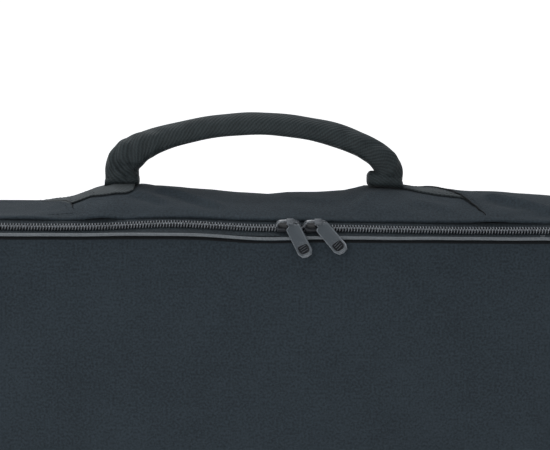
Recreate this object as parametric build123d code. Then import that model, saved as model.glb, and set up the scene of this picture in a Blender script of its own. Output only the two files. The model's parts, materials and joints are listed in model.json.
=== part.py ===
from build123d import *
import os
from math import cos, sin, radians, sqrt

# Padded gig bag, an oblong soft case that stands on its long bottom side.
# Millimetres. X runs along the bag, the front panel faces -Y, Z is up.
# The origin is on the ground, under the middle of the bag.

# ---- the whole bag ----
BAG_LENGTH = 1020.0     # outside of the side gussets
EDGE_HEIGHT = 390.0     # ground to the long edges of the top gusset
BAG_DEPTH = 118.0       # front fabric to back fabric
CORNER_R = 60.0         # outside radius of the four corners
TOP_CROWN = 12.0        # rise of the top gusset above its long edges
CROWN_END_RISE = 30.0   # rise of the long arc that brings the crown down at the corners
FOLD_Z = 72.0           # height at which the front panel folds forward
FOLD_GAP = 0.4          # half the gap between the parts above and below the fold

# ---- wall layers ----
FABRIC = 1.2
LINING = 0.8
PANEL_FOAM = 12.0
GUSSET_FOAM = 8.0

# ---- zip band, which slopes from the front panel up to the gusset ----
BAND_TILT = 34.0        # degrees above the horizontal, going back
BAND_WIDTH = 20.0
TAPE = 0.6
COIL_WIDTH = 2.6
COIL_HEIGHT = 2.2
CHAIN_AT = 9.0          # middle of the chain, from the front panel's edge
COIL_GAP = 1.6          # between the two halves of the chain
PIPING_R = 1.6

# ---- zip sliders and their pulls ----
SLIDER_LENGTH = 18.0
SLIDER_WIDTH = 10.8
PLATE = 1.2
PLATE_LOW = 2.6         # underside of the slider's upper plate, above the tape
BAIL_R = 1.1
BAIL_LENGTH = 15.0
BAIL_AT = 7.5           # axis of the bail's bar, above the tape
LEFT_SLIDER_X = 26.0
RIGHT_SLIDER_X = 46.4
PULL_WIDTH = 11.0
PULL_LENGTH = 31.0
PULL_THICK = 1.6
PULL_HANG = 31.0        # degrees from the vertical, where the pull rests on the piping
LEFT_PULL_LEAN = 22.0   # degrees sideways, towards +X
RIGHT_PULL_LEAN = 34.0
KNUCKLE_R = 2.5
KNUCKLE_BORE_R = 1.5
KNUCKLE_LENGTH = 5.0
KNUCKLE_SHIFT = 1.5     # from the middle of the slider, towards +X

# ---- handle ----
HANDLE_HALF_SPAN = 106.0    # middle of the bag to the middle of a leg
GRIP_R = 8.5
CORE_R = 5.3
ARCH_R = 212.0
ARCH_TOP = 457.0            # middle of the grip, at the top of the arch
SHOULDER_R = 22.0
PIVOT_Z = 413.0
FOOT_ROLL_R = 8.2
FOOT_ROLL_IN = 20.0         # how far the foot's roll reaches inwards from the leg
WEBBING_WIDTH = 50.0
WEBBING = 1.6
HANDLE_END_OUT = 162.0      # outer end of the sewn webbing
PATCH_WIDTH = 74.0
PATCH_IN = 88.0
PATCH_OUT = 192.0
PATCH = 0.8

# ---- derived places ----
FRONT_Y = -BAG_DEPTH / 2
BACK_Y = BAG_DEPTH / 2
X_C = BAG_LENGTH / 2 - CORNER_R
Z_C = EDGE_HEIGHT - CORNER_R
T_Y = cos(radians(BAND_TILT))
T_H = sin(radians(BAND_TILT))
PANEL_INSET = BAND_WIDTH * T_H
GUSSET_FRONT_Y = FRONT_Y + BAND_WIDTH * T_Y
GUSSET_BACK_Y = BACK_Y - FABRIC
GUSSET_MID_Y = (GUSSET_FRONT_Y + BACK_Y) / 2
PANEL_H = CORNER_R - PANEL_INSET
GUSSET_WALL = FABRIC + GUSSET_FOAM + LINING
FAR = 2000.0


# ---- helpers ----
def write(name, shape):
    """Write one node."""
    export_step(shape, f"parts/{name}.step")


def band(along, out):
    """A point of the wall's section: along the zip band, and out of it."""
    return (FRONT_Y + along * T_Y - out * T_H, PANEL_H + along * T_H + out * T_Y)


def section(points):
    """A face in the YZ plane; the second number counts outwards from the corner's centre."""
    return Plane.YZ * make_face(Polyline(*points, close=True))


def rect_section(y0, y1, h0, h1):
    return section([(y0, h0), (y1, h0), (y1, h1), (y0, h1)])


def band_section(s0, s1, n0, n1):
    return section([band(s0, n0), band(s1, n0), band(s1, n1), band(s0, n1)])


def bead_section(y, h, r):
    return Plane.YZ * Pos(y, h) * Circle(r)


def quarter(face, start, x_c, z_c):
    """The wall's section turned a quarter round one corner; start 0 is the top."""
    turned = Pos(x_c, 0, z_c) * Rot(0, start, 0) * face
    return revolve(turned, Axis((x_c, 0, z_c), (0, 1, 0)), 90)


def upright(face, side, low, high):
    """The wall's section along one end of the bag; side is 1 or -1."""
    turned = Pos(side * X_C, 0, low) * Rot(0, side * 90, 0) * face
    return extrude(turned, amount=high - low, dir=(0, 0, 1))


def over_top(face, low):
    """The wall's section over the top and down both ends to the height low."""
    top = extrude(Pos(-X_C, 0, Z_C) * face, amount=2 * X_C, dir=(1, 0, 0))
    shape = top + quarter(face, 0, X_C, Z_C) + quarter(face, 270, -X_C, Z_C)
    return shape + upright(face, 1, low, Z_C) + upright(face, -1, low, Z_C)


def under_bottom(face, high):
    """The wall's section along the bottom and up both ends to the height high."""
    turned = Pos(-X_C, 0, CORNER_R) * Rot(0, 180, 0) * face
    bottom = extrude(turned, amount=2 * X_C, dir=(1, 0, 0))
    shape = bottom + quarter(face, 90, X_C, CORNER_R) + quarter(face, 180, -X_C, CORNER_R)
    return shape + upright(face, 1, CORNER_R, high) + upright(face, -1, CORNER_R, high)


def all_round(face):
    return over_top(face, FOLD_Z) + under_bottom(face, FOLD_Z)


def plate(inset, y0, y1):
    """A flat layer of a panel, its outline inset from the outside of the gusset."""
    outline = RectangleRounded(BAG_LENGTH - 2 * inset, EDGE_HEIGHT - 2 * inset, CORNER_R - inset)
    face = Plane.XZ * outline
    return Pos(0, y1, EDGE_HEIGHT / 2) * extrude(face, amount=y1 - y0)


def box(x0, x1, y0, y1, z0, z1):
    """A box given by its limits."""
    middle = Pos((x0 + x1) / 2, (y0 + y1) / 2, (z0 + z1) / 2)
    return middle * Box(x1 - x0, y1 - y0, z1 - z0)


def above_fold(shape):
    return shape & box(-FAR, FAR, -FAR, FAR, FOLD_Z + FOLD_GAP, FAR)


def below_fold(shape):
    return shape & box(-FAR, FAR, -FAR, FAR, -FAR, FOLD_Z - FOLD_GAP)


def segment_cylinder(chord, rise, base, length, along_x):
    """A cylinder whose top stands proud of the height base by rise, over the chord."""
    radius = (chord * chord / 4 + rise * rise) / (2 * rise)
    lying = Rot(0, 90, 0) if along_x else Rot(90, 0, 0)
    return Pos(0, GUSSET_MID_Y, base + rise - radius) * lying * Cylinder(radius, length)


def crown(base):
    """The pillow that the top gusset makes above the height base."""
    wide = segment_cylinder(BACK_Y - GUSSET_FRONT_Y, TOP_CROWN, base, FAR, True)
    long = segment_cylinder(2 * X_C, CROWN_END_RISE, base, FAR, False)
    footprint = box(-X_C, X_C, GUSSET_FRONT_Y, GUSSET_BACK_Y, base, base + CROWN_END_RISE)
    return wide & long & footprint


def crown_layer(low, thick, x0, x1, width):
    """A layer that lies on the crown of the top gusset, thick above the height low."""
    y0 = GUSSET_MID_Y - width / 2
    over = box(x0, x1, y0, y0 + width, EDGE_HEIGHT, EDGE_HEIGHT + 2 * TOP_CROWN)
    return (crown(EDGE_HEIGHT + low + thick) & over) - crown(EDGE_HEIGHT + low)


def mirrored(shape):
    """The shape and its mirror image across the middle of the bag."""
    return shape, mirror(shape, Plane.YZ)


# ---- the shell: back, gusset and the strip of front panel below the fold ----
def gusset_shell():
    skin = all_round(rect_section(GUSSET_FRONT_Y, GUSSET_BACK_Y, CORNER_R - FABRIC, CORNER_R))
    skin += crown(EDGE_HEIGHT)
    skin -= crown(EDGE_HEIGHT - FABRIC)
    strip = below_fold(under_bottom(band_section(1.2, BAND_WIDTH, -1.0, 0), FOLD_Z))
    return skin + strip


def gusset_foam():
    y0 = GUSSET_FRONT_Y + 2.4
    ring = all_round(rect_section(y0, GUSSET_BACK_Y, CORNER_R - FABRIC - GUSSET_FOAM, CORNER_R - FABRIC))
    pillow = crown(EDGE_HEIGHT - FABRIC) & box(-FAR, FAR, y0, FAR, 0, FAR)
    return ring + pillow


def gusset_lining():
    y0 = GUSSET_FRONT_Y + 2.4
    return all_round(rect_section(y0, GUSSET_BACK_Y, CORNER_R - GUSSET_WALL, CORNER_R - GUSSET_WALL + LINING))


def back_piping(neighbours):
    bead = all_round(bead_section(BACK_Y + 0.7, CORNER_R - PIPING_R, PIPING_R))
    return bead - neighbours


def back_binding():
    y1 = BACK_Y - FABRIC - PANEL_FOAM - LINING
    high = CORNER_R - GUSSET_WALL
    return all_round(rect_section(y1 - 4, y1, high - 2, high))


def retaining_strap(x):
    """A webbing strap lying against the back lining, held by its two sewn ends."""
    y1 = BACK_Y - FABRIC - PANEL_FOAM - LINING
    low = GUSSET_WALL + 4
    return box(x - 19, x + 19, y1 - 1.6, y1, low, EDGE_HEIGHT - low)


def fastener_patch(x, z0, z1, layer):
    """A hook or loop patch sewn on a retaining strap."""
    y1 = BACK_Y - FABRIC - PANEL_FOAM - LINING - 1.6 - layer
    return box(x - 18, x + 18, y1 - 1.2, y1, z0, z1)


# ---- the zip ----
def zip_tape(side):
    """Side is 1 for the gusset's half and -1 for the front panel's half."""
    if side > 0:
        face = band_section(CHAIN_AT + 0.5, BAND_WIDTH - 0.5, -TAPE, 0)
    else:
        face = band_section(0.9, CHAIN_AT - 0.5, -TAPE, 0)
    return over_top(face, FOLD_Z + FOLD_GAP)


def zip_coil(side):
    middle = CHAIN_AT + side * (COIL_GAP + COIL_WIDTH) / 2
    face = band_section(middle - COIL_WIDTH / 2, middle + COIL_WIDTH / 2, 0, COIL_HEIGHT)
    return over_top(face, FOLD_Z + 16)


def zip_end_tabs():
    """Fabric tabs over the lower ends of the chain, on the gusset's tape."""
    face = band_section(CHAIN_AT + 0.6, CHAIN_AT + 6.6, 0, 1.4)
    return [upright(face, side, FOLD_Z + 1, FOLD_Z + 15) for side in (1, -1)]


# ---- the front panel, which is the lid above the fold ----
def front_panel():
    return plate(PANEL_INSET, FRONT_Y, FRONT_Y + FABRIC)


def front_foam():
    y0 = FRONT_Y + FABRIC
    return plate(PANEL_INSET + 1.8, y0, y0 + PANEL_FOAM)


def front_lining():
    y0 = FRONT_Y + FABRIC + PANEL_FOAM
    return plate(PANEL_INSET + 1.8, y0, y0 + LINING)


def front_piping_face():
    return bead_section(FRONT_Y - 0.45, PANEL_H + 0.25, PIPING_R)


def front_binding():
    y0 = FRONT_Y + FABRIC
    return over_top(rect_section(y0, y0 + 6, PANEL_H - 1.8, PANEL_H - 0.4), FOLD_Z + FOLD_GAP)


# ---- sliders and pulls, placed on the band at the top ----
def band_plane(x, along, out):
    """A plane on the top run of the zip: X along the zip, Y up the band, Z out of it."""
    y, h = band(along, out)
    return Plane(origin=(x, y, Z_C + h), x_dir=(1, 0, 0), z_dir=(0, -T_H, T_Y))


def slider_body(x):
    """Upper plate, lower plate under the panel's tape, wedge between, and a side lip."""
    half = SLIDER_LENGTH / 2
    wide = SLIDER_WIDTH / 2
    top = PLATE_LOW + PLATE
    low = -TAPE - 0.4
    upper = Pos(0, 0, PLATE_LOW + PLATE / 2) * Box(SLIDER_LENGTH, SLIDER_WIDTH, PLATE)
    upper = fillet(upper.edges().filter_by(Axis.Z), 2.4)
    upper = fillet(upper.faces().sort_by(Axis.Z)[-1].edges(), 0.4)
    wedge = box(-half + 3, half - 3, -0.4, 0.4, low, PLATE_LOW)
    lower = box(-half + 1, half - 1, -wide + 0.4, 0.4, low - PLATE, low)
    lip = box(-half + 3, half - 3, -wide, -wide + 1.0, 0.4, PLATE_LOW)
    stump = box(-BAIL_LENGTH / 2 + BAIL_R, BAIL_LENGTH / 2 - BAIL_R, -1.3, 1.3, top, top + 0.6)
    return band_plane(x, CHAIN_AT, 0) * (upper + wedge + lower + lip + stump)


def slider_bail(x):
    """A round bar bent over into two legs that stand on the slider's upper plate."""
    reach = BAIL_LENGTH / 2
    foot = PLATE_LOW + PLATE + 0.6
    bend = 2.2
    path = FilletPolyline(
        (-reach + BAIL_R, 0, foot),
        (-reach + BAIL_R, 0, BAIL_AT),
        (reach - BAIL_R, 0, BAIL_AT),
        (reach - BAIL_R, 0, foot),
        radius=bend,
    )
    start = Plane(origin=(-reach + BAIL_R, 0, foot), z_dir=(0, 0, 1))
    bar = sweep(start * Circle(BAIL_R), path=path)
    return band_plane(x, CHAIN_AT, 0) * bar


def pull_outline():
    """The blade: a narrow neck at the knuckle, square shoulders and a chamfered end."""
    half = PULL_WIDTH / 2
    neck = KNUCKLE_LENGTH / 2
    points = [
        (-neck, -1.8),
        (-neck, -7.0),
        (-half, -10.5),
        (-half, -PULL_LENGTH + 3.4),
        (-half + 3.4, -PULL_LENGTH),
        (half - 3.4, -PULL_LENGTH),
        (half, -PULL_LENGTH + 3.4),
        (half, -10.5),
        (neck, -7.0),
        (neck, -1.8),
    ]
    return make_face(Polyline(*points, close=True))


def pull_blade():
    """The blade, flat in local XY and hanging along -Y, with a ribbed recess near its end."""
    blade = Pos(0, 0, -PULL_THICK / 2) * extrude(pull_outline(), amount=PULL_THICK)
    blade = chamfer(blade.faces().sort_by(Axis.Z)[-1].edges(), 0.35)
    middle = -PULL_LENGTH + 6.6
    recess = Pos(0, middle, PULL_THICK / 2) * extrude(RectangleRounded(7.0, 7.6, 2.6), amount=0.7, both=True)
    blade -= recess
    for number in range(3):
        rib = Pos(0, middle - 2.2 + 2.2 * number, PULL_THICK / 2 - 0.55) * Box(5.6, 0.7, 0.5)
        blade += rib
    return blade


def pull(x, lean):
    """A pull that hangs from the bail: a knuckle round the bar and a leaning blade."""
    hang = radians(PULL_HANG)
    y, h = band(CHAIN_AT, BAIL_AT)
    knuckle = Rot(0, 90, 0) * Cylinder(KNUCKLE_R, KNUCKLE_LENGTH)
    blade = Rot(0, 0, lean) * pull_blade() - Rot(0, 90, 0) * Cylinder(KNUCKLE_R - 0.2, FAR)
    bore = Rot(0, 90, 0) * Cylinder(KNUCKLE_BORE_R, FAR)
    hanging = Plane(origin=(x, y, Z_C + h), x_dir=(1, 0, 0), z_dir=(0, -cos(hang), sin(hang)))
    return hanging * (knuckle + blade - bore)


# ---- handle ----
def handle_path():
    """The middle line of the handle: legs, shoulders and one long arch."""
    centre_z = ARCH_TOP - ARCH_R
    shoulder_x = HANDLE_HALF_SPAN - SHOULDER_R
    shoulder_z = centre_z + sqrt((ARCH_R - SHOULDER_R) ** 2 - shoulder_x**2)
    share = ARCH_R / (ARCH_R - SHOULDER_R)
    meet_x = shoulder_x * share
    meet_z = centre_z + (shoulder_z - centre_z) * share
    turn = radians(45)
    bend_x = shoulder_x + SHOULDER_R * cos(turn / 1.5)
    bend_z = shoulder_z + SHOULDER_R * sin(turn / 1.5)
    left_leg = Line((-HANDLE_HALF_SPAN, PIVOT_Z), (-HANDLE_HALF_SPAN, shoulder_z))
    left_bend = ThreePointArc(left_leg @ 1, (-bend_x, bend_z), (-meet_x, meet_z))
    arch = ThreePointArc(left_bend @ 1, (0, ARCH_TOP), (meet_x, meet_z))
    right_bend = ThreePointArc(arch @ 1, (bend_x, bend_z), (HANDLE_HALF_SPAN, shoulder_z))
    right_leg = Line(right_bend @ 1, (HANDLE_HALF_SPAN, PIVOT_Z))
    wire = Wire([left_leg, left_bend, arch, right_bend, right_leg])
    return Plane(origin=(0, GUSSET_MID_Y, 0), x_dir=(1, 0, 0), z_dir=(0, -1, 0)) * wire


def handle_rod(radius):
    """A round rod along the handle's middle line."""
    start = Plane(origin=(-HANDLE_HALF_SPAN, GUSSET_MID_Y, PIVOT_Z), z_dir=(0, 0, 1))
    return sweep(start * Circle(radius), path=handle_path())


def foot_roll(side):
    """The rolled webbing at the bottom of a leg, on the axis that the handle tips about."""
    x0 = HANDLE_HALF_SPAN - FOOT_ROLL_IN
    x1 = HANDLE_HALF_SPAN + GRIP_R
    middle = Pos(side * (x0 + x1) / 2, GUSSET_MID_Y, PIVOT_Z)
    roll = middle * Rot(0, 90, 0) * Cylinder(FOOT_ROLL_R, x1 - x0)
    return fillet(roll.edges().filter_by(GeomType.CIRCLE), 2.0)


def handle_webbing(core):
    return handle_rod(GRIP_R) + foot_roll(1) + foot_roll(-1) - core


def main():
    os.makedirs("parts", exist_ok=True)

    back = plate(0, GUSSET_BACK_Y, BACK_Y)
    shell = gusset_shell()
    write("back_panel", back)
    write("gusset_shell", shell)
    write("gusset_foam", gusset_foam())
    write("gusset_lining", gusset_lining())
    write("back_piping", back_piping(back + shell))
    y1 = GUSSET_BACK_Y - PANEL_FOAM
    write("back_foam", plate(GUSSET_WALL, y1, GUSSET_BACK_Y))
    write("back_lining", plate(GUSSET_WALL, y1 - LINING, y1))
    write("back_binding", back_binding())

    front = front_panel()
    write("front_panel", above_fold(front))
    write("front_panel_foot", below_fold(front))
    write("front_foam", above_fold(front_foam()))
    write("front_foam_foot", below_fold(front_foam()))
    write("front_lining", above_fold(front_lining()))
    write("front_lining_foot", below_fold(front_lining()))
    panel_tape = zip_tape(-1)
    bead = front_piping_face()
    write("front_piping", above_fold(over_top(bead, FOLD_Z)) - front - panel_tape)
    write("front_piping_foot", below_fold(under_bottom(bead, FOLD_Z)) - front - shell)
    write("front_binding", front_binding())

    write("zip_tape_gusset", zip_tape(1))
    write("zip_tape_panel", panel_tape)
    write("zip_coil_gusset", zip_coil(1))
    write("zip_coil_panel", zip_coil(-1))
    write("zip_end_tabs", Compound(zip_end_tabs()))

    for name, x, lean in (
        ("left", LEFT_SLIDER_X, LEFT_PULL_LEAN),
        ("right", RIGHT_SLIDER_X, RIGHT_PULL_LEAN),
    ):
        write(f"slider_{name}_body", slider_body(x))
        write(f"slider_{name}_bail", slider_bail(x))
        write(f"pull_{name}", pull(x + KNUCKLE_SHIFT, lean))

    patch = crown_layer(0, PATCH, PATCH_IN, PATCH_OUT, PATCH_WIDTH)
    end = crown_layer(PATCH, WEBBING, HANDLE_HALF_SPAN - 8, HANDLE_END_OUT, WEBBING_WIDTH)
    for name, right, left in (("handle_patch", *mirrored(patch)), ("handle_end", *mirrored(end))):
        write(f"{name}_right", right)
        write(f"{name}_left", left)
    core = handle_rod(CORE_R) & box(-FAR, FAR, -FAR, FAR, PIVOT_Z + FOOT_ROLL_R, FAR)
    write("handle_core", core)
    write("handle_webbing", handle_webbing(core))

    straps = (-230.0, 230.0)
    write("retaining_straps", Compound([retaining_strap(x) for x in straps]))
    write("loop_patches", Compound([fastener_patch(x, 60, 150, 0) for x in straps]))
    write("hook_patches", Compound([fastener_patch(x, 240, 330, 0) for x in straps]))


main()
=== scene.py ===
import json
from collections import namedtuple
from math import cos, exp, pi, radians, sin, sqrt

import bmesh
import bpy
import numpy as np
from mathutils import Matrix, Vector, noise


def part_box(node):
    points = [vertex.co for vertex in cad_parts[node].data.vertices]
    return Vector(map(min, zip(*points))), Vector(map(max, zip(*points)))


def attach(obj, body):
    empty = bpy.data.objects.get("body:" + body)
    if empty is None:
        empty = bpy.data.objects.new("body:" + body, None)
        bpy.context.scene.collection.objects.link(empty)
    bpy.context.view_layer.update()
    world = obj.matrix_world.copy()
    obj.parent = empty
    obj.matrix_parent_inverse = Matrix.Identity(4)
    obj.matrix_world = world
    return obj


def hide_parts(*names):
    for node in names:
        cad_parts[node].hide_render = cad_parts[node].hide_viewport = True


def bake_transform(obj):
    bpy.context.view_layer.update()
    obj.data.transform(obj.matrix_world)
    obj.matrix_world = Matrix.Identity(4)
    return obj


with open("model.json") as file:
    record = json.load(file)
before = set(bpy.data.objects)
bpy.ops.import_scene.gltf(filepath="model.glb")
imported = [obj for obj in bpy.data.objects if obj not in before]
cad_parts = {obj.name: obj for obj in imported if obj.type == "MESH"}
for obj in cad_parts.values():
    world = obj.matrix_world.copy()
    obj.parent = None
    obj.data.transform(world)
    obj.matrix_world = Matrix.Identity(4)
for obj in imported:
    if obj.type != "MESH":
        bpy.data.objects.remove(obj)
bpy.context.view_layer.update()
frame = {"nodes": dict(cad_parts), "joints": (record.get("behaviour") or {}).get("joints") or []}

# ---------------------------------------------------------------- sizes and places
MM = 0.001
panel_lo, panel_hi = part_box("front_panel")
foot_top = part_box("front_panel_foot")[1].z
back_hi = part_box("back_panel")[1]
JOINTS = {j["name"]: j for j in frame["joints"]}

BAG_X = back_hi.x                       # half the length
EDGE_Z = back_hi.z                      # long edges of the top gusset
FRONT_Y, BACK_Y = panel_lo.y, back_hi.y
FOLD_Z = (panel_lo.z + foot_top) / 2     # where the front panel bends
CORNER_R = 60 * MM                      # rounding of the outline, at the gusset
PANEL_INSET = BAG_X - panel_hi.x        # the front panel's edge, in from the gusset
PANEL_H = CORNER_R - PANEL_INSET        # that edge, out from the corner's centre
BAND_TILT = radians(34)                 # the zip band's slope from panel to gusset
BAND_WIDTH = PANEL_INSET / sin(BAND_TILT)
T_Y, T_H = cos(BAND_TILT), sin(BAND_TILT)
EDGE_Y = FRONT_Y + BAND_WIDTH * T_Y     # front edge of the gusset
MID_Y = (EDGE_Y + BACK_Y) / 2           # middle of the gusset's depth
HALF_Y = (BACK_Y - EDGE_Y) / 2
X_C, Z_C = BAG_X - CORNER_R, EDGE_Z - CORNER_R  # centres of the upper corners
CHAIN_AT = 9 * MM                       # middle of the chain, up the band
ZIP_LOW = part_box("zip_coil_panel")[0].z  # lower ends of the chain
PIPING_R = 1.15 * MM
HEM_LIFT = 0.9 * MM                     # how far the gusset's hem stands up
CROWN = 8 * MM                          # swell of a padded panel
SIDES = (("right", 1), ("left", -1))    # the two ends of the handle
PAD = 13 * MM                           # thickness of a padded panel
LEG_X = 106 * MM                        # middle of the bag to a leg's middle
GRIP_R = 8.5 * MM                       # of the rolled handle, for its weave
STRIP_HALF = 25 * MM                    # half width of the flat webbing
STRAP = 1.3 * MM                        # thickness of the flat webbing
BAIL_AT = 7.5 * MM                      # the bail's middle line, out of the zip band


# ---------------------------------------------------------------- small mathematics
def smooth(t):
    t = min(max(t, 0.0), 1.0)
    return t * t * (3 - 2 * t)


def ruffle(x, y, z, size, amount):
    """Smooth noise of one size, in metres."""
    return amount * noise.noise(Vector((x, y, z)) / size)


def band(along, out):
    """(y, h) of a point of the zip band; h counts outwards from the corner's centre."""
    return FRONT_Y + along * T_Y - out * T_H, PANEL_H + along * T_H + out * T_Y


def bump(t, width):
    return exp(-((t / width) ** 2))


# how far the padded top gusset rises above its long edges: x in mm, height in mm
CREST = [
    (-450, 5), (-330, 7), (-260, 3), (-190, 0.5), (-165, 1.6), (-142, 7), (-122, 14.6),
    (-106, 18.5), (-86, 18.5), (-60, 17), (-32, 15), (-12, 13), (10, 12), (26, 14), (48, 14),
    (70, 15.5), (86, 19), (104, 18.5), (124, 17),
    (142, 16.5), (162, 16), (186, 15.5), (215, 14), (260, 11), (330, 10), (450, 5),
]


def crest(x):
    places = [place_x * MM for place_x, _ in CREST]
    heights = [height * MM for _, height in CREST]
    return float(np.interp(x, places, heights)) * smooth((X_C - abs(x)) / 0.12)


def sway(x, amounts):
    """Slow waves along the zip: the sum of a few bumps, each (x, half width, height) in mm."""
    return sum(height * bump(x / MM - middle, width) for middle, width, height in amounts) * MM


ZIP_SWAY = [(-58, 42, 2.6), (-150, 40, -0.5), (70, 40, 0.5), (150, 60, -0.4)]
PIPING_SWAY = [(-62, 45, 1.3), (8, 30, -1.6), (100, 50, -0.3)]
HEM_SWAY = [(178, 15, 1.5), (-112, 14, 1.6), (-138, 16, -1.2), (-58, 40, 2.6), (-95, 9, -1.0), (30, 40, 0.6)]


# creases of the top gusset: two ends (x, y) in mm, half width and height in mm
CREASES = [
    ((-92, -14), (-62, -30), 2.8, 2.4),
    ((-74, -2), (-22, -30), 3.4, 2.9),
    ((-120, -18), (-150, -34), 5.0, 0.8),
    ((96, -4), (74, -30), 4.0, 0.9),
    ((28, -10), (66, -22), 5.0, 0.7),
    ((175, -8), (232, -34), 4.2, 3.6),
    ((118, -22), (150, -34), 4.0, 1.2),
    ((196, -30), (226, -40), 3.5, 1.2),
    ((-205, -8), (-250, -34), 6.0, 1.0),
    ((262, -2), (310, -30), 6.0, 1.0),
    ((-92, 22), (-60, 44), 4.0, 1.0),
    ((94, 24), (60, 46), 4.5, 1.0),
    ((150, 26), (210, 46), 5.0, 1.0),
    ((-150, 30), (-205, 46), 5.0, 1.0),
]


def crease(x, y):
    """The height of all creases at one point of the top gusset."""
    total = 0.0
    for (x0, y0), (x1, y1), width, height in CREASES:
        ax, ay = x / MM - x0, y / MM - y0
        dx, dy = x1 - x0, y1 - y0
        length = sqrt(dx * dx + dy * dy)
        along = (ax * dx + ay * dy) / length
        across = (ax * dy - ay * dx) / length + 1.5 * sin(along / 14)
        fade = smooth(along / 10 + 0.3) * smooth((length - along) / 12 + 0.3)
        total += height * fade * (bump(across, width) - 0.6 * bump(across - 1.9 * width, 1.5 * width))
    return total * MM


def top_rise(x, y):
    """Height of the top gusset's cloth above its long edges."""
    t = (y - MID_Y) / HALF_Y
    shape = max(1 - abs(t) ** 2.3, 0)
    edge = smooth((1 - abs(t)) / 0.14)
    wave = ruffle(x, y, 0.3, 0.045, 0.8 * MM) + ruffle(x, y, 0.7, 0.012, 0.3 * MM)
    pucker = (1 - smooth((1 - abs(t)) / 0.35)) * edge * ruffle(x, 0, 0.1, 0.007, 0.7 * MM)
    return crest(x) * shape + edge * (crease(x, y) + wave) + pucker


# ---------------------------------------------------------------- the bag's outline
# one place along the wall: the rounding's centre, the outward direction, the length run so far
Station = namedtuple("Station", "cx cz nx nz run")


def spaced(a, b, step):
    return np.linspace(a, b, max(2, int(round(abs(b - a) / step)) + 1))


def stations(low, full=False, coarse=8 * MM):
    """Stations along the wall: up the left end, over the top, down the right end, and if full,
    back under the bottom. They are closer together near the handle."""
    near, fine = 0.26, 2.6 * MM
    rows = [(-X_C, z, -1, 0) for z in spaced(low, Z_C, coarse)[:-1]]
    rows += [(-X_C, Z_C, sin(a), cos(a)) for a in spaced(-pi / 2, 0, radians(6))[:-1]]
    top = list(spaced(-X_C, -near, coarse)[:-1]) + list(spaced(-near, near, fine)[:-1])
    top += list(spaced(near, X_C, coarse)[:-1])
    rows += [(x, Z_C, 0, 1) for x in top]
    rows += [(X_C, Z_C, sin(a), cos(a)) for a in spaced(0, pi / 2, radians(6))[:-1]]
    rows += [(X_C, z, 1, 0) for z in spaced(Z_C, low, coarse)]
    if full:
        rows = rows[:-1] + under_stations(low, coarse)[:-1]
    return with_length(rows)


def under_stations(low, coarse=8 * MM):
    """The same from the right end at the height low, under the bottom, to the left end."""
    rows = [(X_C, z, 1, 0) for z in spaced(low, CORNER_R, coarse)[:-1]]
    rows += [(X_C, CORNER_R, sin(a), cos(a)) for a in spaced(pi / 2, pi, radians(6))[:-1]]
    rows += [(x, CORNER_R, 0, -1) for x in spaced(X_C, -X_C, coarse)[:-1]]
    rows += [(-X_C, CORNER_R, sin(a), cos(a)) for a in spaced(pi, 1.5 * pi, radians(6))[:-1]]
    rows += [(-X_C, z, -1, 0) for z in spaced(CORNER_R, low, coarse)]
    return rows


def with_length(rows):
    """Adds the length run so far, measured on the outer face."""
    result, run, last = [], 0.0, None
    for cx, cz, nx, nz in rows:
        point = Vector((cx + CORNER_R * nx, cz + CORNER_R * nz))
        run += (point - last).length if last is not None else 0.0
        last = point
        result.append(Station(cx, cz, nx, nz, run))
    return result


def place(station, y, h):
    """A point of the wall, h out from the rounding's centre; none is below the floor."""
    return (station.cx + h * station.nx, y, max(station.cz + h * station.nz, 0.0))


# ---------------------------------------------------------------- meshes
def link(mesh, name):
    obj = bpy.data.objects.new(name, mesh)
    bpy.context.scene.collection.objects.link(obj)
    return obj


def mesh_object(name, verts, faces, uvs=None, material=None):
    """A smooth mesh object; uvs gives one (u, v) for each vertex of each face, in order."""
    mesh = bpy.data.meshes.new(name)
    mesh.from_pydata([tuple(v) for v in verts], [], faces)
    if uvs is not None:
        layer = mesh.uv_layers.new(name="UVMap")
        layer.data.foreach_set("uv", np.asarray(uvs, np.float32).ravel())
    mesh.polygons.foreach_set("use_smooth", [True] * len(mesh.polygons))
    mesh.update()
    obj = link(mesh, name)
    if material:
        mesh.materials.append(material)
    return obj


def grid(name, points, us, vs, material, loop_u=False, loop_v=False):
    """A sheet of quads; points[i][j] is a place, us[i] and vs[j] its lengths along the cloth."""
    rows, cols = len(points), len(points[0])
    verts = [p for row in points for p in row]
    faces, uvs = [], []
    for i in range(rows if loop_u else rows - 1):
        for j in range(cols if loop_v else cols - 1):
            i2, j2 = (i + 1) % rows, (j + 1) % cols
            faces.append((i * cols + j, i2 * cols + j, i2 * cols + j2, i * cols + j2))
            u0, v0 = us[i], vs[j]
            u1 = us[i + 1] if i + 1 < len(us) else us[i] + (us[1] - us[0])
            v1 = vs[j + 1] if j + 1 < len(vs) else vs[j] + (vs[1] - vs[0])
            uvs += [(u0, v0), (u1, v0), (u1, v1), (u0, v1)]
    return mesh_object(name, verts, faces, uvs, material)


def thicken(obj, thickness, offset=-1.0):
    modifier = obj.modifiers.new("thickness", "SOLIDIFY")
    modifier.thickness = thickness
    modifier.offset = offset
    modifier.use_even_offset = False
    return obj


def round_edges(obj, width):
    """A small bevel on every sharp edge."""
    modifier = obj.modifiers.new("edge", "BEVEL")
    modifier.width = width
    modifier.segments = 2
    modifier.limit_method = "ANGLE"
    return apply_modifiers(obj)


def apply_modifiers(obj):
    """Makes what the modifiers give the object's own mesh."""
    depsgraph = bpy.context.evaluated_depsgraph_get()
    mesh = bpy.data.meshes.new_from_object(obj.evaluated_get(depsgraph))
    obj.modifiers.clear()
    obj.data = mesh
    return obj


def edit_mesh(obj, change):
    """Changes an object's mesh with bmesh; change is a function of the bmesh."""
    edit = bmesh.new()
    edit.from_mesh(obj.data)
    change(edit)
    edit.to_mesh(obj.data)
    edit.free()
    return obj


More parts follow.
